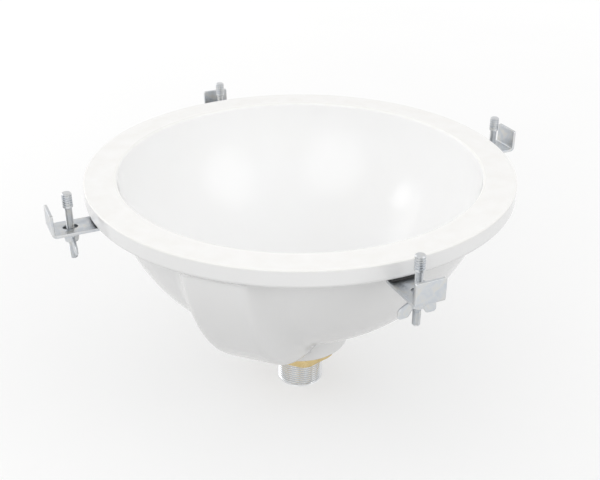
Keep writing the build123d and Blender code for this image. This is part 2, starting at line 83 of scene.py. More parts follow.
def extent(node):
    """Outer radius, bottom and top of a CAD node about Z, in millimetres."""
    (_, _, bottom), (outer, _, top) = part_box(node)
    return outer / MM, bottom / MM, top / MM


def having(thing, **settings):
    """The thing, with these settings."""
    for name, value in settings.items():
        setattr(thing, name, value)
    return thing


# Outlines: lists of (across, up) points of a section


def polar(middle, radius, angles):
    """Points round a middle, at angles in degrees."""
    return [(middle[0] + radius * math.cos(a), middle[1] + radius * math.sin(a)) for a in np.radians(angles)]


def arc(middle, radius, start, end, step=9.0):
    """Points along an arc. Angles are in degrees."""
    return polar(middle, radius, np.linspace(start, end, max(2, math.ceil(abs(end - start) / step) + 1)))


def circle(radius, columns=64):
    """Points round a circle about the origin."""
    return arc((0, 0), radius, 0, 360 - 360 / columns, 360 / columns)


def direction(start, end):
    """Direction from one section point to another, in degrees."""
    return math.degrees(math.atan2(end[1] - start[1], end[0] - start[0]))


def rounded(corners, step=15.0):
    """Outline through (across, up, round) corners. A corner with a round becomes an arc."""
    points = []
    for index, (x, y, *size) in enumerate(corners):
        if not size:
            points.append((x, y))
            continue
        here = np.array((x, y), float)
        before = corners[index - 1][:2] - here
        after = corners[(index + 1) % len(corners)][:2] - here
        before /= np.hypot(*before)
        after /= np.hypot(*after)
        half = math.acos(np.clip(before @ after, -1, 1)) / 2
        middle = here + (before + after) / np.hypot(*(before + after)) * size[0] / math.sin(half)
        reach = size[0] / math.tan(half)
        start = direction(middle, here + before * reach)
        sweep = (direction(middle, here + after * reach) - start + 180) % 360 - 180
        points += arc(middle, size[0], start, start + sweep, step)
    return points


def rectangle(left, right, bottom, top, left_round, right_round=None):
    """A rectangle's outline with rounded corners. Those on its right may have a round of their own."""
    right_round = right_round or left_round
    return rounded([
        (left, bottom, left_round), (right, bottom, right_round), (right, top, right_round),
        (left, top, left_round),
    ])


def divided(points, hold=0.25, longest=6.0):
    """The open outline with a point near each end of a long run, and more along it."""
    result = []
    for start, end in zip(points, points[1:]):
        start = np.array(start, float)
        run = np.array(end, float) - start
        length = np.hypot(*run)
        shares = [0.0]
        if length > 4 * hold:
            count = max(1, math.ceil((length - 2 * hold) / longest))
            shares += list((hold + (length - 2 * hold) * np.arange(count + 1) / count) / length)
        result += [tuple(start + run * share) for share in shares]
    return result + [points[-1]]


def spaced(start, end, focus, near, far, fine, coarse):
    """Places from start to end in fine steps near the focus, growing to coarse ones far from it."""
    places = [start]
    while places[-1] < end:
        share = np.clip((abs(places[-1] - focus) - near) / (far - near), 0, 1)
        places.append(places[-1] + fine + (coarse - fine) * share)
    places = np.array(places)
    return start + (places - start) * (end - start) / (places[-1] - start)


def outline_distance(points, outline):
    """Distance from section points to a closed outline, negative inside it."""
    start = np.array(outline, float)
    run = np.roll(start, -1, axis=0) - start
    gap = points[:, None] - start
    share = np.clip((gap * run).sum(2) / (run**2).sum(1), 0, 1)
    distance = np.sqrt(((gap - share[..., None] * run) ** 2).sum(2)).min(1)
    crosses = (gap[..., 1] < 0) != (gap[..., 1] < run[:, 1])
    slope = run[:, 0] / np.where(run[:, 1] == 0, 1, run[:, 1])
    inside = (crosses & (gap[..., 0] < slope * gap[..., 1])).sum(1) % 2 == 1
    return np.where(inside, -distance, distance)


# Meshes


def listed(name, mesh):
    """A new object for this mesh, in the scene."""
    piece = bpy.data.objects.new(name, mesh)
    bpy.context.scene.collection.objects.link(piece)
    return piece


def shaded(piece, sharp=38.0):
    """Merges the mesh's doubled points, faces it outwards, and smooths all but its sharp edges."""
    shape = bmesh.new()
    shape.from_mesh(piece.data)
    bmesh.ops.remove_doubles(shape, verts=shape.verts, dist=0.002 * MM)
    bmesh.ops.delete(shape, geom=[edge for edge in shape.edges if edge.is_wire], context="EDGES")
    bmesh.ops.recalc_face_normals(shape, faces=shape.faces)
    shape.to_mesh(piece.data)
    shape.free()
    piece.data.shade_smooth()
    piece.data.set_sharp_from_angle(angle=math.radians(sharp))
    return piece


def solid(name, vertices, faces):
    """A new piece from points in millimetres."""
    mesh = bpy.data.meshes.new(name)
    mesh.from_pydata((np.array(vertices, float) * MM).tolist(), [], faces)
    return shaded(listed(name, mesh))


def ring_faces(rings):
    """Quads between neighbouring closed rings of point numbers."""
    rings = np.array(rings)
    after = np.roll(rings, -1, axis=1)
    return np.stack([rings[:-1], after[:-1], after[1:], rings[1:]], axis=2).reshape(-1, 4).tolist()


def skinned(name, sections):
    """A closed form through sections that have the same number of points."""
    rings = np.arange(len(sections) * len(sections[0])).reshape(len(sections), -1)
    return solid(name, np.reshape(sections, (-1, 3)), ring_faces(rings) + rings[[0, -1]].tolist())


def revolved(radii, heights, angles):
    """Points of rings about Z. Each radius and height is one value, or one for each angle."""
    radii, heights = (np.array([np.broadcast_to(v, len(angles)) for v in row]) for row in (radii, heights))
    return np.stack([radii * np.cos(angles), radii * np.sin(angles), heights], axis=2)


def lathe(name, radii, heights, columns=128):
    """A closed form about Z from rings of radii and heights."""
    points = revolved(radii, heights, np.arange(columns) / columns * TURN)
    rings = np.arange(len(points) * columns).reshape(-1, columns)
    return solid(name, points.reshape(-1, 3), ring_faces([*rings, rings[0]]))


def turned(name, corners, columns=128):
    """A form turned about Z from its closed outline of (radius, height, round) corners."""
    outline = rounded(corners)
    return lathe(name, *zip(*divided(outline + outline[:1])[:-1]), columns)


def evaluated(piece):
    """A new mesh of the piece with its modifiers or curve settings."""
    return bpy.data.meshes.new_from_object(piece.evaluated_get(bpy.context.evaluated_depsgraph_get()))


def applied(piece):
    """Makes the piece's modifiers part of its mesh."""
    mesh = evaluated(piece)
    piece.modifiers.clear()
    piece.data = mesh
    return piece


def cut(piece, cutter):
    """Takes the cutter's form out of the piece and deletes the cutter."""
    having(piece.modifiers.new("cut", "BOOLEAN"), operation="DIFFERENCE", solver="EXACT", object=cutter)
    applied(piece)
    bpy.data.objects.remove(cutter)
    return shaded(piece)


def bevelled(piece, width, angle=30):
    """Gives the piece's sharp edges a small bevel."""
    change = piece.modifiers.new("edges", "BEVEL")
    having(change, width=width * MM, segments=2, limit_method="ANGLE", angle_limit=math.radians(angle))
    return piece


def plate(name, loops, bottom, top, edge):
    """A flat plate with rounded edges, from the loops of its outline and its holes."""
    half = (top - bottom) / 2
    curve = having(
        bpy.data.curves.new(name, "CURVE"), dimensions="2D", fill_mode="BOTH", extrude=(half - edge) * MM,
        bevel_depth=edge * MM, bevel_resolution=2, offset=-edge * MM,
    )
    for loop in loops:
        spline = curve.splines.new("POLY")
        spline.points.add(len(loop) - 1)
        for point, (x, y) in zip(spline.points, loop):
            point.co = (x * MM, y * MM, 0, 1)
        spline.use_cyclic_u = True
    flat = listed(name, curve)
    mesh = evaluated(flat)
    bpy.data.objects.remove(flat)
    mesh.transform(Matrix.Translation((0, 0, (top + bottom) / 2 * MM)))
    return shaded(listed(name, mesh))


def joined(name, pieces, places=(Matrix(),)):
    """One piece from several, once at each place. They are deleted."""
    shape = bmesh.new()
    for place in places:
        for piece in pieces:
            copy = piece.data.copy()
            copy.transform(place)
            shape.from_mesh(copy)
    for piece in pieces:
        bpy.data.objects.remove(piece)
    mesh = bpy.data.meshes.new(name)
    shape.to_mesh(mesh)
    shape.free()
    return listed(name, mesh)


def thread(levels, radius, pitch, depth, fade, columns):
    """Radii of a rounded right-hand thread, a row for each level. A level's fade scales its depth."""
    turns = levels[:, None] / pitch - np.arange(columns) / columns
    slope = np.clip((abs(turns % 1 * 2 - 1) - thread_flat) / (1 - 2 * thread_flat), 0, 1)
    return radius - depth * (slope * slope * (3 - 2 * slope)) * fade[:, None]


# Ceramic bowl
mouth_radius = 153.0
bowl_depth = 140.0
bowl_wall = 9.0
rim_thickness = 15.0
mouth_round = 2.5
rim_top_round = 1.2
rim_bottom_round = 3.5
rim_underside_round = 5.0
boss_wall = 8.0
boss_bottom_round = 3.0
boss_side_round = 9.0
shell_rings = 54
rim_radius, boss_bottom, _ = extent("ceramic_bowl")
curve_radius = (mouth_radius**2 + bowl_depth**2) / (2 * bowl_depth)
curve_centre = curve_radius - bowl_depth
shell_radius = curve_radius + bowl_wall

# Recess and hole for the waste, and the hollow ring that takes the overflow
recess_clearance = 1.0
waste_hole_radius = 22.955
hole_edge_round = 1.2
web_thickness = 9.0
chamber_height = 14.0
chamber_width = 13.0
chamber_round = 3.0
flange_radius, tail_end, flange_top = extent("waste_body")
seat_level = extent("flange_gasket")[1]
recess_radius = flange_radius + recess_clearance
chamber_top = seat_level - web_thickness
chamber_bottom = chamber_top - chamber_height
chamber_radius = waste_hole_radius + chamber_width
boss_radius = chamber_radius + boss_wall

# Overflow hole, its ring's seat and the channel behind it
overflow_depth = 32.0
overflow_hole_radius = 12.0
overflow_hole_lip = 3.0
seat_radius = 15.6
seat_relief = 0.3
glazed_edge = 0.5
channel_rings = 70
channel_width = 40.0
channel_gap = 9.0
channel_corner = 3.0
channel_wall = 7.0
channel_overlap = 5.0
overflow_slope = math.asin((overflow_depth + curve_centre) / curve_radius)
channel_floor = shell_radius + channel_gap

# Bulge over the channel on the outside, blended into the shell
crown_half = 24.0
crown_radius = channel_floor + channel_wall
bulge_base_half = 38.0
bulge_sink = 6.5
bulge_corner = 9.0
bulge_blend = 9.0
bulge_blend_at_rim = 3.5
bulge_blend_run = 25.0
bulge_corner_step = 2.5
halvings = 13
outside_spacing = 3.0
bulge_start = math.asin((curve_centre + rim_thickness / 2) / crown_radius)
bulge_end = math.acos(waste_hole_radius / crown_radius)
bulge_section = rounded([
    (-bulge_base_half, shell_radius - bulge_sink), (-crown_half, crown_radius, bulge_corner),
    (crown_half, crown_radius, bulge_corner), (bulge_base_half, shell_radius - bulge_sink),
], step=bulge_corner_step)

# Axes at the overflow hole: outward is along its axis, away from the curve's centre
centre = np.array((0, 0, curve_centre))
outward = np.array((0, -math.cos(overflow_slope), -math.sin(overflow_slope)))
sideways = np.array((1.0, 0, 0))

# The bowl's grid in degrees, fine near the overflow hole, whose own rings fill a window in it
window_angle = 8.0
window_rings = 5
window_ease = 0.8
fine_angle = 0.5
slope_angle = 1.8
column_angle = 2.2
column_near = 14.0
column_far = 40.0


def slope_of(point):
    """Slope below level, in degrees, of a section point seen from the curve's centre."""
    return -direction((0, curve_centre), point)


def fillet_beside(radius, across, size):
    """Middle of a fillet between a sphere about the curve's centre and an upright side."""
    across += size
    return across, curve_centre - math.sqrt((radius + size) ** 2 - across**2)


def fillet_below(radius, level, size):
    """Middle of a fillet between a sphere about the curve's centre and a level face above it."""
    level -= size
    return math.sqrt((radius + size) ** 2 - (curve_centre - level) ** 2), level


def shell_outline():
    """Outside of the bowl, from the waste hole's lower edge up to the rim's top."""
    foot = fillet_beside(shell_radius, boss_radius, boss_side_round)
    neck = fillet_below(shell_radius, -rim_thickness, rim_underside_round)
    low_middle = (boss_radius - boss_bottom_round, boss_bottom + boss_bottom_round)
    edge_middle = (rim_radius - rim_bottom_round, -rim_thickness + rim_bottom_round)
    top_middle = (rim_radius - rim_top_round, -rim_top_round)
    points = [(waste_hole_radius, boss_bottom)]
    points += arc(low_middle, boss_bottom_round, -90, 0)
    points += arc(foot, boss_side_round, 180, 180 - slope_of(foot))
    slopes = np.linspace(slope_of(foot), slope_of(neck), shell_rings)[1:-1]
    points += polar((0, curve_centre), shell_radius, -slopes)
    points += arc(neck, rim_underside_round, 180 - slope_of(neck), 90)
    points += arc(edge_middle, rim_bottom_round, -90, 0)
    points += arc(top_middle, rim_top_round, 0, 90, 15)
    return points


def bowl_outline():
    """The bowl's closed section, how many of its points are outside, and which lie in the window."""
    mouth = fillet_below(curve_radius, 0, mouth_round)
    edge = fillet_beside(curve_radius, recess_radius, soft_round)
    outside = divided(shell_outline() + [(mouth[0], 0)], longest=outside_spacing)
    points = outside[:-1] + arc(mouth, mouth_round, 90, 180 - slope_of(mouth))
    hole = math.degrees(overflow_slope)
    ends = slope_of(mouth), slope_of(edge)
    slopes = spaced(*ends, hole, window_angle, 2 * window_angle, fine_angle, slope_angle)[1:-1]
    window = np.flatnonzero(abs(slopes - hole) < window_angle) + len(points)
    points += polar((0, curve_centre), curve_radius, -slopes)
    points += arc(edge, soft_round, 180 - slope_of(edge), 180)
    waste_side = rounded([
        points[-1],
        (recess_radius, seat_level, soft_round),
        (waste_hole_radius, seat_level, hole_edge_round),
        (waste_hole_radius, chamber_top, hole_edge_round),
        (chamber_radius, chamber_top, chamber_round),
        (chamber_radius, chamber_bottom, chamber_round),
        (waste_hole_radius, chamber_bottom, hole_edge_round), (waste_hole_radius, boss_bottom),
    ])
    points += divided(waste_side)[1:-1]
    return points, len(outside), (window[0], window[-1])


def bulge_distance(points):
    """Distance from points to the bulge over the channel, negative inside it."""
    gap = points - centre
    reach = np.hypot(gap[:, 1], gap[:, 2])
    slope = np.arctan2(-gap[:, 2], -gap[:, 1])
    side = outline_distance(np.stack([gap[:, 0], reach], axis=1), bulge_section)
    return np.maximum(side, np.maximum(bulge_start - slope, slope - bulge_end) * reach)


def outside_distance(points, section):
    """Distance to the turned outside and the bulge, joined by a fillet that grows below the rim."""
    across = np.hypot(points[:, 0], points[:, 1])
    shell_gap = outline_distance(np.stack([across, points[:, 2]], axis=1), section)
    bulge_gap = bulge_distance(points)
    share = np.clip((-rim_thickness - points[:, 2]) / bulge_blend_run, 0, 1)
    blend = bulge_blend_at_rim + (bulge_blend - bulge_blend_at_rim) * share
    overlap = np.maximum(blend - abs(shell_gap - bulge_gap), 0) / blend
    return np.minimum(shell_gap, bulge_gap) - overlap**2 * blend / 4


def swollen(points, section):
    """The turned outside's points moved away from the curve's centre, onto the bulge and its fillet."""
    shape = points.shape
    points = points.reshape(-1, 3).copy()
    below_rim = points[:, 2] < -rim_thickness + level_slack
    near = np.flatnonzero(below_rim & (bulge_distance(points) < bulge_blend))
    gap = points[near] - centre
    inside = np.linalg.norm(gap, axis=1)
    ray = gap / inside[:, None]
    outside = inside + crown_radius - curve_radius
    for _ in range(halvings):
        middle = (inside + outside) / 2
        full = outside_distance(centre + ray * middle[:, None], section) < 0
        inside = np.where(full, middle, inside)
        outside = np.where(full, outside, middle)
    points[near] = centre + ray * inside[:, None]
    points[:, 2] = np.maximum(points[:, 2], boss_bottom)
    reach = np.hypot(points[:, 0], points[:, 1])
    points[:, :2] *= np.minimum(1, rim_radius / reach)[:, None]
    return points.reshape(shape)


def hole_rings(points, loop):
    """Rings of points from a loop of the bowl's grid to the overflow hole, and down it."""
    gap = points[loop] - centre
    gap -= np.outer(gap @ outward, outward)
    reach = np.linalg.norm(gap, axis=1)
    ray = gap / reach[:, None]
    sunk = math.sqrt(curve_radius**2 - seat_radius**2)
    seat = curve_radius + seat_relief
    hole, deep = overflow_hole_radius, shell_radius + channel_gap / 2
    edge_start = seat_radius + glazed_edge
    rings = []
    for share in np.linspace(0, 1, window_rings + 1)[1:]:
        radius = reach + (edge_start - reach) * share**window_ease
        rings.append((radius, np.sqrt(curve_radius**2 - radius**2)))
    steps = [
        (seat_radius + glazed_edge / 4, sunk + glazed_edge / 4),
        (seat_radius, sunk + glazed_edge), (seat_radius - glazed_edge / 2, seat),
        (hole + glazed_edge, seat), (hole + glazed_edge / 4, seat + glazed_edge / 4),
        (hole, seat + glazed_edge), (hole, shell_radius - glazed_edge), (hole, deep),
        (hole / 2, deep), (0, deep),
    ]
    rings += [(np.full(len(loop), radius), np.full(len(loop), depth)) for radius, depth in steps]
    return [centre + ray * radius[:, None] + np.outer(depth, outward) for radius, depth in rings]


def channel_form():
    """The overflow channel as a solid, from above the hole down into the hollow ring."""
    half = channel_width / 2
    section = rectangle(-half, half, shell_radius, channel_floor, channel_corner)
    start = overflow_slope - (overflow_hole_radius + overflow_hole_lip) / shell_radius
    end = math.acos((chamber_radius - channel_overlap) / channel_floor)
    return skinned("channel_form", [
        [(x, -reach * math.cos(slope), curve_centre - reach * math.sin(slope)) for x, reach in section]
        for slope in np.linspace(start, end, channel_rings)
    ])


def ceramic_bowl():
    """The bowl in one mesh, with its bulge, overflow hole, channel and waste hole."""
    outline, outside_count, (first_ring, last_ring) = bowl_outline()
    angles = np.radians(spaced(-270, 90, -90, column_near, column_far, fine_angle, column_angle))[:-1]
    points = revolved(*zip(*outline), angles)
    rings = np.arange(len(outline) * len(angles)).reshape(len(outline), -1)
    section = shell_outline() + [(0, 0), (0, boss_bottom)]
    points[:outside_count] = swollen(points[:outside_count], section)
    points = points.reshape(-1, 3)

    in_window = np.flatnonzero(abs(np.degrees(angles) + 90) < window_angle)
    first, last = in_window[0], in_window[-1]
    quads = np.array(ring_faces([*rings, rings[0]])).reshape(*rings.shape, 4)
    keep = np.ones(rings.shape, bool)
    keep[first_ring:last_ring, first:last] = False
    loop = np.concatenate([
        rings[first_ring, first:last], rings[first_ring:last_ring, last],
        rings[last_ring, last:first:-1], rings[last_ring:first_ring:-1, first],
    ])
    hole = hole_rings(points, loop)
    hole_numbers = len(points) + np.arange(len(hole) * len(loop)).reshape(len(hole), -1)
    faces = quads[keep].tolist() + ring_faces([loop, *hole_numbers])
    bowl = solid("bowl", np.concatenate([points, *hole]), faces)
    return cut(bowl, channel_form())


# Overflow ring and grip, made about Z and placed on the overflow hole's axis
ring_bore = 9.64
ring_sleeve_radius = 10.74
ring_sleeve_length = 7.5
ring_flange_radius = 15.0
ring_flange_thickness = 2.4
ring_flange_round = 1.1
grip_inner = 10.82
grip_outer = 11.92
grip_start = 0.08
grip_length = 6.0
grip_rib_count = 3


def seated(piece):
    """Moves a form made about Z onto the overflow hole's axis, its zero on the ring's seat."""
    origin = (centre + outward * (curve_radius + seat_relief)) * MM
    columns = np.stack([sideways, np.cross(outward, sideways), outward, origin], axis=1)
    piece.data.transform(Matrix([*columns.tolist(), [0, 0, 0, 1]]))
    return piece


def overflow_ring():
    return seated(turned("overflow_trim", [
        (ring_bore, -ring_flange_thickness, ring_flange_round),
        (ring_flange_radius, -ring_flange_thickness, ring_flange_round),
        (ring_flange_radius, 0, small_round), (ring_sleeve_radius, 0),
        (ring_sleeve_radius, ring_sleeve_length, small_round),
        (ring_bore, ring_sleeve_length, small_round),
    ]))


def overflow_grip():
    pitch = grip_length / (2 * grip_rib_count)
    corners = [(grip_inner, grip_start + grip_length), (grip_inner, grip_start)]
    for rib in range(grip_rib_count):
        start = grip_start + 2 * rib * pitch
        corners += [
            (grip_outer, start, small_round), (grip_outer, start + pitch, small_round),
            (grip_outer - half_round, start + pitch),
            (grip_outer - half_round, start + 2 * pitch),
        ]
    return seated(turned("overflow_sleeve_grip", corners, columns=96))


# Slotted waste: its thread, and the spider across its bore
thread_radius = 20.955
thread_pitch = 2.309
thread_cut = 1.479
thread_fade = 2.5
thread_steps = 11
waste_columns = 144
bore_radius = 18.055
dish_radius = 24.455
dish_depth = 2.0
dish_edge_round = 3.0
flange_thickness = 3.0
flange_round = 1.2
tail_chamfer = 1.0
groove_radius = 20.055
groove_width = 1.5
groove_drop = 0.75
slot_width = 20.0
slot_margin = 1.5
slot_round = 2.0
spider_hub_radius = 7.5
spider_bore = 4.05
spider_arm_width = 3.6
spider_reach = 19.2
spider_arm_count = 3
spider_hub_step = 20.0
spider_thickness = 6.0
spider_bottom = extent("cartridge_nut")[2]
spider_top = spider_bottom + spider_thickness


def waste_tube():
    """The waste's flange and tube, with a real helical thread down to its end."""
    thread_top, thread_end = boss_bottom, tail_end + tail_chamfer
    flange_bottom = flange_top - flange_thickness
    upper = rounded([
        (bore_radius, thread_top), (bore_radius, flange_top - dish_depth, broad_round),
        (dish_radius, flange_top, dish_edge_round), (flange_radius, flange_top, flange_round),
        (flange_radius, flange_bottom, small_round),
        (thread_radius, flange_bottom, small_round), (thread_radius, thread_top),
    ])
    lower = [(thread_radius - tail_chamfer, tail_end), (bore_radius, tail_end), (bore_radius, thread_top)]
    levels = np.arange(thread_top, thread_end, -thread_pitch / thread_steps)[1:]
    fade = np.clip(np.minimum(thread_top - levels, levels - thread_end) / thread_fade, 0, 1)
    radii = thread(levels, thread_radius, thread_pitch, thread_cut, fade, waste_columns)
    groove_top = extent("back_nut")[1] - groove_drop
    in_groove = (levels < groove_top) & (levels > groove_top - groove_width)
    radii[in_groove] = np.minimum(radii[in_groove], groove_radius)
    rings = [*divided(upper), *zip(radii, levels), (thread_radius, thread_end), *divided(lower)[:-1]]
    tube = lathe("waste", *zip(*rings), waste_columns)
    half, ends = slot_width / 2, (chamber_bottom + slot_margin, chamber_top - slot_margin)
    slot = rectangle(-half, half, *ends, slot_round)
    for side in (-1, 1):
        reaches = (side * bore_radius / 2, side * 1.5 * bore_radius)
        cut(tube, skinned("slot_form", [[(x, reach, z) for x, z in slot] for reach in reaches]))
    return tube


def waste_spider():
    """The hub that holds the cartridge, on arms that run into the tube's wall."""
    half, gap = spider_arm_width / 2, 360 / spider_arm_count
    spread = math.degrees(math.asin(half / spider_hub_radius))
    outline = []
    for arm in range(spider_arm_count):
        angle = 90 + arm * gap
        along = np.array(polar((0, 0), 1, [angle])[0])
        beside = np.array((-along[1], along[0])) * half
        tip = along * spider_reach
        hub = arc((0, 0), spider_hub_radius, angle + spread, angle + gap - spread, spider_hub_step)
        outline += [(*(tip - beside),), (*(tip + beside),)]
        outline += [(*hub[0], broad_round), *hub[1:-1], (*hub[-1], broad_round)]
    loops = [rounded(outline), circle(spider_bore)]
    return plate("waste_cartridge_spider", loops, spider_bottom, spider_top, half_round)


# Seals and nuts
nut_bevel = 1.2
nut_bore_chamfer = 0.8
nut_edge = 0.25
small_nut_bevel = 0.4
small_nut_edge = 0.12
gasket_overlap = 1.4
clearance = 0.05
cone_spigot = 3.0
cone_spigot_radius = 22.355
cone_shoulder_radius = 22.655
cone_bevel = 2.0


def ring_form(name, node, bore, edge):
    """A flat ring with rounded edges, as large as a CAD node about Z."""
    outer, bottom, top = extent(node)
    return turned(name, rectangle(bore, outer, bottom, top, edge))


def cone_washer():
    outer, bottom, _ = extent("cone_washer")
    return turned("waste_cone_washer", [
        (thread_radius, boss_bottom + cone_spigot, small_round),
        (cone_spigot_radius, boss_bottom + cone_spigot, small_round),
        (cone_shoulder_radius, boss_bottom), (outer - cone_bevel, boss_bottom, small_round),
        (outer, boss_bottom - cone_bevel, broad_round), (outer, bottom, soft_round),
        (thread_radius, bottom, small_round),
    ])


def hexagon_nut(name, node, bore, bevel, edge, columns=144):
    """A hexagon nut as large as a CAD node about Z, with a flat towards Y and bevelled corners."""
    _, bottom, top = extent(node)
    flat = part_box(node)[1][1] / MM
    angles = np.degrees(np.arange(columns) / columns * TURN)
    side = np.radians((angles - 60) % 60 - 30)
    reach = flat / np.cos(side)
    face = flat / math.cos(math.radians(30)) - 2 * bevel
    near = np.minimum(reach, face)
    drop = np.maximum(0, reach - face) / 2
    lead = min(nut_bore_chamfer, (flat - bore) / 3)
    radii = [bore + lead, near, reach, reach, near, bore + lead, bore, bore]
    heights = [bottom, bottom, bottom + drop, top - drop, top, top, top - lead, bottom + lead]
    return shaded(applied(bevelled(lathe(name, radii, heights, columns), edge)))


# Plunger, spring, cap and seal
plunger_radius = 3.0
plunger_head_radius = 5.5
plunger_pin_radius = 2.3
plunger_pin_length = 12.0
plunger_head_thickness = 4.0
spring_radius = 4.0
spring_wire = 0.45
spring_turns = 7
spring_end_turns = 1.0
spring_end_pitch = 1.05
spring_steps = 24
spring_sides = 10
crown_share = 0.92
crown_steps = 24
cap_rise = 2.6
cap_edge_height = 2.2
cap_edge_round = 1.8
cap_skirt_depth = 1.5
cap_skirt_width = 3.0
cap_boss_radius = 7.0
cap_thread_depth = 0.8
seal_web_thickness = 1.3
seal_lip_width = 4.0
seal_bevel = 1.8
collar_flange_thickness = 1.5
collar_skirt_radius = 6.15
plunger_bore = 3.05


def plunger():
    _, bottom, top = extent("plunger")
    head = bottom + plunger_pin_length
    neck = head + plunger_head_thickness
    return turned("plug_rod", [
        (0, top), (plunger_radius, top, fine_round), (plunger_radius, neck),
        (plunger_head_radius, neck, small_round), (plunger_head_radius, head, small_round),
        (plunger_pin_radius, head), (plunger_pin_radius, bottom, half_round), (0, bottom),
    ], columns=64)


def cartridge_collar():
    outer, bottom, top = extent("cartridge_collar")
    flange = top - collar_flange_thickness
    return turned("cartridge_top_collar", [
        (plunger_bore, bottom, fine_round), (collar_skirt_radius, bottom, fine_round),
        (collar_skirt_radius, flange), (outer, flange, fine_round), (outer, top, half_round),
        (plunger_bore, top, rolled_round),
    ], columns=96)


def cartridge_spring():
    """A compression spring with closed ends."""
    _, bottom, top = extent("cartridge_spring")
    bottom, top = bottom + spring_wire, top - spring_wire
    turn = np.linspace(0, spring_turns, spring_steps * spring_turns + 1)
    closed = spring_end_turns * spring_end_pitch
    places = [0, spring_end_turns, spring_turns - spring_end_turns, spring_turns]
    out = np.stack([np.cos(turn * TURN), np.sin(turn * TURN), 0 * turn], axis=1)
    line = out * spring_radius
    line[:, 2] = np.interp(turn, places, [bottom, bottom + closed, top - closed, top])
    along = np.gradient(line, axis=0)
    along /= np.linalg.norm(along, axis=1)[:, None]
    beside = np.cross(along, out)
    sides = (np.arange(spring_sides) / spring_sides * TURN)[:, None]
    wire = line[:, None] + spring_wire * (np.cos(sides) * out[:, None] + np.sin(sides) * beside[:, None])
    return skinned("cartridge_coil", wire)


def plug_cap():
    outer, bottom, top = extent("plug_cap")
    edge = top - cap_rise
    underside = edge - cap_edge_height
    skirt = underside - cap_skirt_depth
    dome = (outer**2 + cap_rise**2) / (2 * cap_rise)
    crown = [(0, top)]
    for across in np.linspace(0, outer * crown_share, crown_steps)[1:]:
        crown.append((across, top - dome + math.sqrt(dome**2 - across**2)))
    return turned("plug_dome", crown + [
        (outer, edge, cap_edge_round), (outer, skirt, small_round),
        (outer - cap_skirt_width, skirt, small_round), (outer - cap_skirt_width, underside),
        (cap_boss_radius, underside, root_round), (cap_boss_radius, bottom, small_round),
        (plunger_bore, bottom), (plunger_bore, underside + cap_thread_depth),
        (0, underside + cap_thread_depth),
    ], columns=160)


def plug_seal():
    outer, bottom, top = extent("plug_seal")
    inner, web, lip = cap_boss_radius + clearance, top - seal_web_thickness, outer - seal_lip_width
    return turned("plug_rubber", [
        (inner, top), (outer, top, fine_round), (outer, bottom, soft_round),
        (lip, bottom, soft_round), (lip - seal_bevel, web, root_round),
        (inner, web, fine_round),
    ])


# Worktop fixings
fixing_names = ("rear_right", "rear_left", "front_left", "front_right")
stud_circle_radius = 196.0
stud_radius = 3.0
stud_pitch = 1.0
stud_thread_cut = 0.6
stud_chamfer = 0.8
stud_steps = 8
stud_columns = 24
anchor_radius = 4.0
anchor_margin = 1.5
anchor_groove = 0.45
anchor_groove_pitch = 2.0
anchor_groove_length = 1.0
anchor_groove_lead = 0.15
clip_width = 24.0
clip_thickness = 2.5
clip_leg = 14.0
clip_bend_round = 1.5
clip_toe_round = 5.0
clip_leg_round = 1.5
clip_slot_length = 12.0
clip_slot_width = 7.0
clip_slot_step = 10.0
clip_bend_cuts = 11
toe_reach = 28.0
pad_inset = 1.5
pad_corner = 1.5
pad_length = 9.0
pad_edge = 0.35
washer_radius = 9.0
washer_bore = 3.25
washer_rolled_round = 0.45
wing_nut_top_radius = 6.5
wing_nut_neck_radius = 5.2
wing_nut_neck_round = 0.9
wing_nut_height = 8.0
wing_nut_bore_above = 5.0
wing_nut_bore_below = 30.0
wing_span = 15.5
wing_drop = 15.0
wing_width = 8.0
wing_thickness = 2.4
wing_corner = 2.5
wing_shoulder = 1.6
wing_shoulder_round = 3.0
wing_grain = 0.42
clip_top = extent("clip_pad_rear_right")[1]
_, washer_bottom, washer_top = extent("fixing_washers")

# Places on the studs, with the first axis pointing away from the bowl
fixing_places = [
    Matrix.Rotation(TURN * (index + 0.5) / len(fixing_names), 4, "Z")
    @ Matrix.Translation((stud_circle_radius * MM, 0, 0))
    for index in range(len(fixing_names))
]


def fixing_studs():
    """Threaded studs, each with a ribbed anchor that is set in the worktop."""
    _, bottom, top = extent("fixing_studs")
    levels = np.arange(bottom + stud_chamfer, 0, stud_pitch / stud_steps)
    fade = np.clip(-levels / stud_pitch, 0, 1)
    radii = thread(levels, stud_radius, stud_pitch, stud_thread_cut, fade, stud_columns)
    rings = [(0, bottom), (stud_radius - stud_chamfer, bottom), *zip(radii, levels)]
    rings += [(stud_radius, 0), (anchor_radius - small_round, 0), (anchor_radius, small_round)]
    for start in np.arange(anchor_groove_pitch, top - anchor_margin, anchor_groove_pitch):
        rings += [
            (anchor_radius, start), (anchor_radius - anchor_groove, start + anchor_groove_lead),
            (anchor_radius, start + anchor_groove_length),
        ]
    rings += [(anchor_radius, top - stud_chamfer), (anchor_radius - stud_chamfer, top), (0, top)]
    return shaded(joined("worktop_studs", [lathe("stud", *zip(*rings), stud_columns)], fixing_places))


def fixing_washers():
    washer = turned("washer", [
        (washer_bore, washer_bottom, fine_round),
        (washer_radius, washer_bottom, washer_rolled_round),
        (washer_radius, washer_top, fine_round), (washer_bore, washer_top, washer_rolled_round),
    ], columns=72)
    return shaded(joined("worktop_washers", [washer], fixing_places))


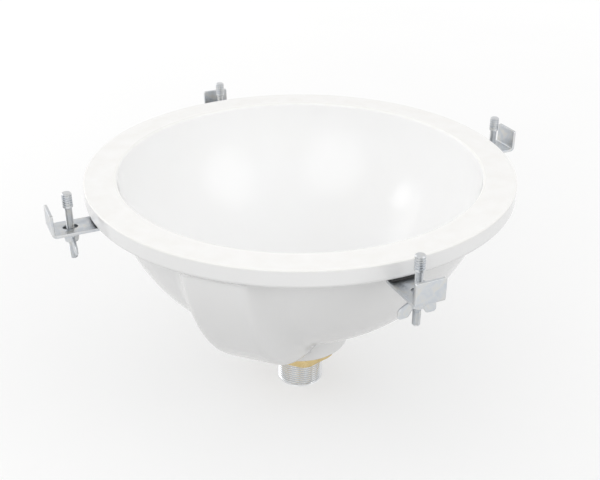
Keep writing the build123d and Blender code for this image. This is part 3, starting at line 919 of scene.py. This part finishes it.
def fixing_clip():
    """A steel clip: a flat blank with a slot, bent up at its outer end."""
    bend_start = clip_leg - clip_bend_round
    middle_radius = clip_bend_round + clip_thickness / 2
    bend_end = bend_start + middle_radius * math.pi / 2
    pivot = clip_top + clip_bend_round
    leg_end = bend_end - pivot
    half = clip_width / 2
    outline = rectangle(-toe_reach, leg_end, -half, half, clip_toe_round, clip_leg_round)
    across, end = clip_slot_width / 2, (clip_slot_length - clip_slot_width) / 2
    slot = arc((end, 0), across, -90, 90, clip_slot_step)
    slot += arc((-end, 0), across, 90, 270, clip_slot_step)
    clip = plate("clip", [outline, slot], 0, clip_thickness, rolled_round)
    shape = bmesh.new()
    shape.from_mesh(clip.data)
    for along in np.linspace(bend_start, bend_end, clip_bend_cuts):
        parts = [*shape.verts, *shape.edges, *shape.faces]
        plane = {"plane_co": (along * MM, 0, 0), "plane_no": (1, 0, 0), "dist": 1e-7}
        bmesh.ops.bisect_plane(shape, geom=parts, **plane)
    for vertex in shape.verts:
        along, _, height = vertex.co / MM
        turn = min(max(along - bend_start, 0) / middle_radius, math.pi / 2)
        radius = clip_thickness + clip_bend_round - height
        x = min(along, bend_start) + radius * math.sin(turn)
        z = pivot - radius * math.cos(turn) + max(along - bend_end, 0)
        vertex.co.x, vertex.co.z = x * MM, z * MM
    shape.to_mesh(clip.data)
    shape.free()
    return shaded(clip)


def clip_pad():
    start, half = pad_inset - toe_reach, clip_width / 2 - pad_inset
    outline = rectangle(start, start + pad_length, -half, half, pad_corner)
    return plate("pad", [outline], clip_top, -rim_thickness, pad_edge)


def wing_nut_form():
    """A cast wing nut: a tapered body and two wings, run together and bored."""
    top, bottom = washer_bottom, washer_bottom - wing_nut_height
    shoulder, root = top - wing_shoulder, bottom + half_round
    parts = [turned("body", [
        (0, top), (wing_nut_top_radius, top, half_round),
        (wing_nut_neck_radius, bottom, wing_nut_neck_round), (0, bottom),
    ], columns=64)]
    for hand in (-1, 1):
        wing = plate("wing", [rounded([
            (0, shoulder), (hand * wing_nut_neck_radius, shoulder, wing_shoulder_round),
            (hand * wing_span, top - wing_drop / 2, 2 * wing_corner),
            (hand * wing_span, top - wing_drop, wing_corner),
            (hand * (wing_span - wing_width), top - wing_drop, wing_corner),
            (hand * wing_nut_neck_radius / 2, root), (0, root),
        ])], -wing_thickness / 2, wing_thickness / 2, soft_round)
        wing.data.transform(Matrix.Rotation(math.pi / 2, 4, "Z") @ Matrix.Rotation(math.pi / 2, 4, "X"))
        parts.append(wing)
    nut = joined("wing_nut_form", parts)
    having(nut.modifiers.new("grain", "REMESH"), mode="VOXEL", voxel_size=wing_grain * MM)
    having(nut.modifiers.new("smooth", "SMOOTH"), factor=0.5, iterations=5)
    radius = stud_radius + clearance
    above, below = top + wing_nut_bore_above, top - wing_nut_bore_below
    bore = turned("bore", [(0, above), (radius, above), (radius, below), (0, below)], columns=48)
    return cut(applied(nut), bore)


# Materials. Patterns are placed by each piece's own coordinates, in metres.
# A node goes into the tree of the outputs that feed it.
wave_crests = 20


def feed(value, socket):
    """Gives an input its value, or links it to the output that feeds it."""
    if isinstance(value, bpy.types.NodeSocket):
        socket.id_data.links.new(value, socket)
    else:
        socket.default_value = value


def source(tree, kind, output):
    """An output of a new node that nothing feeds."""
    return tree.nodes.new("ShaderNode" + kind).outputs[output]


def node(kind, inputs, output=0, **settings):
    """An output of a new node. Each input is a value, or the output that feeds it."""
    tree = next(value.id_data for value in inputs.values() if isinstance(value, bpy.types.NodeSocket))
    added = having(tree.nodes.new("ShaderNode" + kind), **settings)
    for name, value in inputs.items():
        feed(value, added.inputs[name])
    return added.outputs[output]


def noise(place, size, detail=2.0, distortion=0.0):
    """Noise whose patches are about this many millimetres across."""
    inputs = {"Vector": place, "Scale": 1 / (size * MM), "Detail": detail, "Distortion": distortion}
    return node("TexNoise", inputs)


def tool_marks(place, pitch, wave_type="RINGS", distortion=1.5):
    """Tool marks of this pitch in millimetres: rings round the piece's Z axis, or bands along it."""
    scale = TURN / (wave_crests * pitch * MM)
    inputs = {"Vector": place, "Scale": scale, "Distortion": distortion, "Detail Scale": 0.3}
    return node("TexWave", inputs, "Fac", wave_type=wave_type, bands_direction="Z", rings_direction="Z")


def scaled(value, new_start, new_end, start=0.3, end=0.7):
    """The value's range, by default most of a noise's, brought onto a new one."""
    inputs = {"Value": value, "From Min": start, "From Max": end, "To Min": new_start, "To Max": new_end}
    return node("MapRange", inputs)


def computed(operation, first, second):
    """Two values combined."""
    return node("Math", {0: first, 1: second}, operation=operation)


def ramped(value, *stops):
    """Colour by value, from stops of a value and its colour."""
    colour = node("ValToRGB", {"Fac": value})
    elements = colour.node.color_ramp.elements
    while len(elements) < len(stops):
        elements.new(1.0)
    for element, (position, *shade) in zip(elements, stops):
        element.position = position
        element.color = (*shade, 1)
    return colour


def mixed(share, colour, plain):
    """A colour mixed with a plain one, by the plain one's share."""
    return node("Mix", {0: share, 6: colour, 7: (*plain, 1)}, 2, data_type="RGBA")


def painted(colour, roughness, *bumps, metallic=0.0, specular=0.5):
    """Feeds the material's shader. A bump is a height and its depth in millimetres."""
    shader = colour.id_data.nodes["Principled BSDF"]
    inputs = {
        "Base Color": colour, "Roughness": roughness, "Metallic": metallic, "Specular IOR Level": specular,
    }
    for height, depth in bumps:
        before = {"Normal": inputs["Normal"]} if "Normal" in inputs else {}
        inputs["Normal"] = node("Bump", {"Height": height, "Distance": depth * MM, **before})
    for name, value in inputs.items():
        feed(value, shader.inputs[name])
    return shader.outputs["BSDF"]


def worn(place):
    """How worn the surface is: 0 on faces and 1 on outer edges."""
    return scaled(source(place.id_data, "NewGeometry", "Pointiness"), 0, 1, 0.52, 0.6)


def glazed_ceramic(place):
    """White glaze: slightly wavy, warmer in patches and where it thins at the mouth, with rare specks."""
    colour = ramped(noise(place, 70), (0.35, 0.927, 0.926, 0.922), (0.65, 0.935, 0.936, 0.935))
    height = node("SeparateXYZ", {0: place}, "Z")
    height = computed("ADD", height, scaled(noise(place, 9), -0.0006, 0.0006))
    colour = mixed(scaled(height, 0, 1, -0.0022, -0.0002), colour, (0.9, 0.892, 0.868))
    cells = node("TexVoronoi", {"Vector": place, "Scale": 55.0, "Randomness": 1.0}).node.outputs
    chance = scaled(cells["Color"], 0, 1, 0.84, 0.86)
    speck = scaled(cells["Distance"], 0.4, 0, 0.008, 0.016)
    colour = mixed(computed("MULTIPLY", chance, speck), colour, (0.6, 0.55, 0.47))
    waves, skin = noise(place, 24, 1), noise(place, 2.2, 2)
    painted(colour, scaled(noise(place, 25, 4), 0.055, 0.095), (waves, 0.05), (skin, 0.0012))


def ground_ceramic(place):
    """Unglazed ceramic that was ground flat: matt, with fine grain and faint grinding marks."""
    stops = (0.3, 0.865, 0.856, 0.836), (0.52, 0.882, 0.876, 0.862), (0.7, 0.895, 0.891, 0.88)
    colour = ramped(noise(place, 14, 5), *stops)
    grain = noise(place, 0.5, 4)
    colour = mixed(scaled(grain, 0, 0.25, 0.62, 0.75), colour, (0.78, 0.765, 0.735))
    marks = tool_marks(place, 1.1, distortion=6.0)
    painted(colour, scaled(noise(place, 3, 4), 0.62, 0.8), (grain, 0.04), (marks, 0.006))


def chrome_plate(place):
    """Polished plate with faint smears and the slight waviness that the polishing wheel leaves."""
    smears, waves = noise(place, 8, 4, 0.6), noise(place, 9, 1)
    colour = ramped(smears, (0.35, 0.765, 0.776, 0.79), (0.65, 0.79, 0.8, 0.808))
    painted(colour, scaled(smears, 0.05, 0.13, 0.35, 0.75), (waves, 0.008), metallic=1.0)


def brass(place):
    """Brass with turning marks, darker where it has tarnished and brighter on its edges."""
    tarnish = noise(place, 6, 5, 0.4)
    colour = ramped(tarnish, (0.32, 0.64, 0.48, 0.22), (0.5, 0.71, 0.55, 0.27), (0.7, 0.74, 0.58, 0.3))
    colour = mixed(worn(place), colour, (0.82, 0.68, 0.4))
    bumps = [(tool_marks(place, 0.4, kind), 0.012) for kind in ("RINGS", "BANDS")]
    painted(colour, scaled(tarnish, 0.42, 0.24), *bumps, metallic=1.0)


def black_rubber(place):
    """Matt rubber with a fine grain, greyed here and there by a bloom."""
    bloom, grain = noise(place, 11, 5), noise(place, 0.35, 3)
    colour = ramped(bloom, (0.4, 0.034, 0.034, 0.035), (0.72, 0.062, 0.061, 0.059))
    painted(colour, scaled(bloom, 0.52, 0.72), (grain, 0.02), specular=0.4)


def white_nylon(place):
    """Moulded nylon: waxy, slightly yellowed in patches, with a fine texture."""
    colour = ramped(noise(place, 12, 3), (0.35, 0.85, 0.845, 0.815), (0.65, 0.868, 0.868, 0.852))
    painted(colour, scaled(noise(place, 2, 3), 0.36, 0.5), (noise(place, 0.6, 2), 0.01))


def zinc_plate(place):
    """Zinc plate over steel: cloudy, slightly blue and yellow in patches, rubbed bright on its edges."""
    stops = (0.33, 0.57, 0.6, 0.64), (0.5, 0.62, 0.64, 0.66), (0.67, 0.66, 0.655, 0.63)
    colour = mixed(worn(place), ramped(noise(place, 7, 4, 0.8), *stops), (0.72, 0.73, 0.74))
    roughness, grain = scaled(noise(place, 1.5, 5), 0.27, 0.42), noise(place, 0.4, 3)
    painted(colour, roughness, (grain, 0.006), metallic=1.0)


def spring_steel(place):
    """Drawn spring wire with fine marks across its turns."""
    patches, marks = noise(place, 2, 4), tool_marks(place, 0.12, distortion=2.0)
    colour = ramped(patches, (0.35, 0.56, 0.56, 0.565), (0.65, 0.63, 0.63, 0.625))
    painted(colour, scaled(patches, 0.24, 0.38), (marks, 0.002), metallic=1.0)


def material(paint):
    """A new material, painted by this function."""
    finish = having(bpy.data.materials.new(paint.__name__), use_nodes=True)
    paint(source(finish.node_tree, "TexCoord", "Object"))
    return finish


finishes = {paint.__name__: material(paint) for paint in (
    glazed_ceramic, chrome_plate, brass, black_rubber, white_nylon, zinc_plate, spring_steel,
)}


# The object


def dress(piece, slot, *nodes, body="basin"):
    """Gives a piece its finish and its body, and hides the CAD nodes that it stands for."""
    piece.data.materials.clear()
    piece.data.materials.append(finishes[slot])
    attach(piece, body)
    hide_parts(*nodes)
    return piece


def keep_node(name, slot, edge):
    """A CAD node that stays, with its finish and slightly rounded edges."""
    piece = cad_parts[name]
    for place in piece.material_slots:
        place.material = finishes[slot]
    having(piece.modifiers.new("weld", "WELD"), merge_threshold=0.005 * MM)
    bevelled(piece, edge, 40)


def ground_flat(bowl):
    """Leaves the rim's top and the boss's underside unglazed, as they are ground flat."""
    bowl.data.materials.append(material(ground_ceramic))
    top, bottom = -level_slack * MM, (boss_bottom + level_slack) * MM
    for face in bowl.data.polygons:
        level = face.center.z
        if (level > top or level < bottom) and abs(face.normal.z) > flat_enough:
            face.material_index = 1


ground_flat(dress(ceramic_bowl(), "glazed_ceramic", "ceramic_bowl"))
dress(overflow_ring(), "chrome_plate", "overflow_ring")
dress(overflow_grip(), "black_rubber", "overflow_grip")
dress(waste_tube(), "chrome_plate", "waste_body")
dress(waste_spider(), "chrome_plate", "waste_body")
gasket = ring_form("waste_flange_gasket", "flange_gasket", waste_hole_radius - gasket_overlap, fine_round)
dress(gasket, "black_rubber", "flange_gasket")
dress(cone_washer(), "black_rubber", "cone_washer")
slip = ring_form("waste_slip_washer", "slip_washer", thread_radius + clearance, rolled_round)
dress(slip, "white_nylon", "slip_washer")
nut = hexagon_nut("waste_back_nut", "back_nut", thread_radius + clearance, nut_bevel, nut_edge)
dress(nut, "brass", "back_nut")
nut = hexagon_nut("cartridge_fixing_nut", "cartridge_nut", spider_bore, small_nut_bevel, small_nut_edge)
dress(nut, "brass", "cartridge_nut")
dress(cartridge_collar(), "white_nylon", "cartridge_collar")
spring = dress(cartridge_spring(), "spring_steel", "cartridge_spring")
keep_node("cartridge_body", "white_nylon", edge=0.2)
keep_node("cartridge_rotor", "white_nylon", edge=0.15)
dress(plug_cap(), "chrome_plate", "plug_cap", body="plug")
dress(plug_seal(), "black_rubber", "plug_seal", body="plug")
dress(plunger(), "brass", "plunger", body="plug")
nut = hexagon_nut("plug_locking_nut", "plunger_lock_nut", plunger_bore, small_nut_bevel, small_nut_edge)
dress(nut, "brass", "plunger_lock_nut", body="plug")
dress(fixing_studs(), "zinc_plate", "fixing_studs")
dress(fixing_washers(), "zinc_plate", "fixing_washers")
forms = (
    (fixing_clip(), "steel_clip_", "zinc_plate", "clip_", "clip_"),
    (clip_pad(), "rubber_pad_", "black_rubber", "clip_pad_", "clip_"),
    (wing_nut_form(), "winged_nut_", "zinc_plate", "wing_nut_", "wing_nut_"),
)
for fixing, place in zip(fixing_names, fixing_places):
    for form, name, slot, cad_name, body in forms:
        piece = having(listed(name + fixing, form.data.copy()), matrix_world=place)
        dress(piece, slot, cad_name + fixing, body=body + fixing)
for form, *_ in forms:
    bpy.data.objects.remove(form)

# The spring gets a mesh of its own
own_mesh(spring)


# Floor, light and camera
floor_radius = 7.0
floor_opening = 0.017
floor_columns = 96
lamp_distance = 2.0
lamp_core = 0.25
lamp_peak = 1.7
ambient_level = 0.73
ambient_zenith = 0.99
white_start = 0.25
white_zenith = 0.65
glow_start = 0.4
glow_end = 2.5
glow_near = 0.44
glow_far = 0.57
view_place = Vector((0.2557, -0.680, 0.3147))
view_target = Vector((0.0, 0.0, -0.072))
view_lens = 56.0


def facing(piece, place):
    """Puts the piece at a place, facing the object."""
    piece.location = place
    piece.rotation_euler = (view_target - place).to_track_quat("-Z", "Y").to_euler()


def seen(rays):
    """1 where a surface is seen, also in a reflection or through glass, and 0 where it gives light."""
    direct = computed("MAXIMUM", rays["Is Camera Ray"], rays["Is Glossy Ray"])
    return computed("MAXIMUM", direct, rays["Is Transmission Ray"])


def floor(place):
    """Pale and matt, brighter as seen than as lit, and see-through from below."""
    tree = place.id_data
    colour = ramped(noise(place, 300, 3), (0.3, 0.495, 0.495, 0.493), (0.7, 0.505, 0.505, 0.503))
    rays = tree.nodes.new("ShaderNodeLightPath").outputs
    away = node("VectorMath", {0: place}, "Value", operation="LENGTH")
    glow = computed("MULTIPLY", seen(rays), scaled(away, glow_near, glow_far, glow_start, glow_end))
    matt = painted(colour, 0.9, specular=0.1)
    lit = node("AddShader", {0: matt, 1: node("Emission", {"Strength": glow})})
    share = computed("MULTIPLY", source(tree, "NewGeometry", "Backfacing"), rays["Is Camera Ray"])
    both = node("MixShader", {0: share, 1: lit, 2: source(tree, "BsdfTransparent", "BSDF")})
    feed(both, tree.nodes["Material Output"].inputs["Surface"])


def floor_sheet():
    """The floor that the object stands on, open below its tail."""
    points = circle(floor_radius, floor_columns) + circle(floor_opening, floor_columns)
    mesh = bpy.data.meshes.new("floor")
    faces = ring_faces(np.arange(len(points)).reshape(2, -1))
    mesh.from_pydata([(*point, 0) for point in points], [], faces)
    mesh.materials.append(material(floor))
    sheet = listed("floor", mesh)
    sheet.location.z = cad_box[0][2]


def lamp(name, azimuth, elevation, size, power):
    """A soft round lamp that faces the object. Its direction is in degrees."""
    light = having(bpy.data.lights.new(name, "AREA"), shape="DISK", size=size, energy=power, use_nodes=True)
    tree = light.node_tree
    middle = source(tree, "NewGeometry", "Parametric")
    away = node("VectorMath", {0: middle, 1: (0.5, 0.5, 0)}, "Value", operation="DISTANCE")
    feed(scaled(away, lamp_peak, 0, lamp_core, 0.5), tree.nodes["Emission"].inputs["Strength"])
    across, up = math.radians(azimuth), math.radians(elevation)
    place = Vector((math.sin(across) * math.cos(up), -math.cos(across) * math.cos(up), math.sin(up)))
    facing(listed(name, light), place * lamp_distance)


def surroundings():
    """Soft light from all round. Seen directly, or in metal, it is white."""
    world = having(bpy.data.worlds.new("surroundings"), use_nodes=True)
    bpy.context.scene.world = world
    tree = world.node_tree
    light = tree.nodes["Background"]
    height = node("SeparateXYZ", {0: source(tree, "TexCoord", "Generated")}, "Z")
    feed((1, 1, 1, 1), light.inputs["Color"])
    feed(scaled(height, ambient_level, ambient_zenith, 0, 1), light.inputs["Strength"])
    level = scaled(height, 1, white_zenith, white_start, 1)
    white = node("Background", {"Color": (1, 1, 1, 1), "Strength": level})
    rays = tree.nodes.new("ShaderNodeLightPath").outputs
    both = node("MixShader", {0: seen(rays), 1: light.outputs["Background"], 2: white})
    feed(both, tree.nodes["World Output"].inputs["Surface"])


floor_sheet()
surroundings()
lamp("lamp_right", 83, 30, 1.7, 5)
lamp("lamp_front", -7, 31, 2.0, 5.8)
lamp("lamp_left", -73.5, 25, 0.65, 1.2)
lamp("lamp_side", -100, 16, 2.0, 5)
camera = listed("camera", having(bpy.data.cameras.new("camera"), lens=view_lens))
facing(camera, view_place)
bpy.context.scene.camera = camera
bpy.context.scene.view_settings.view_transform = "Standard"
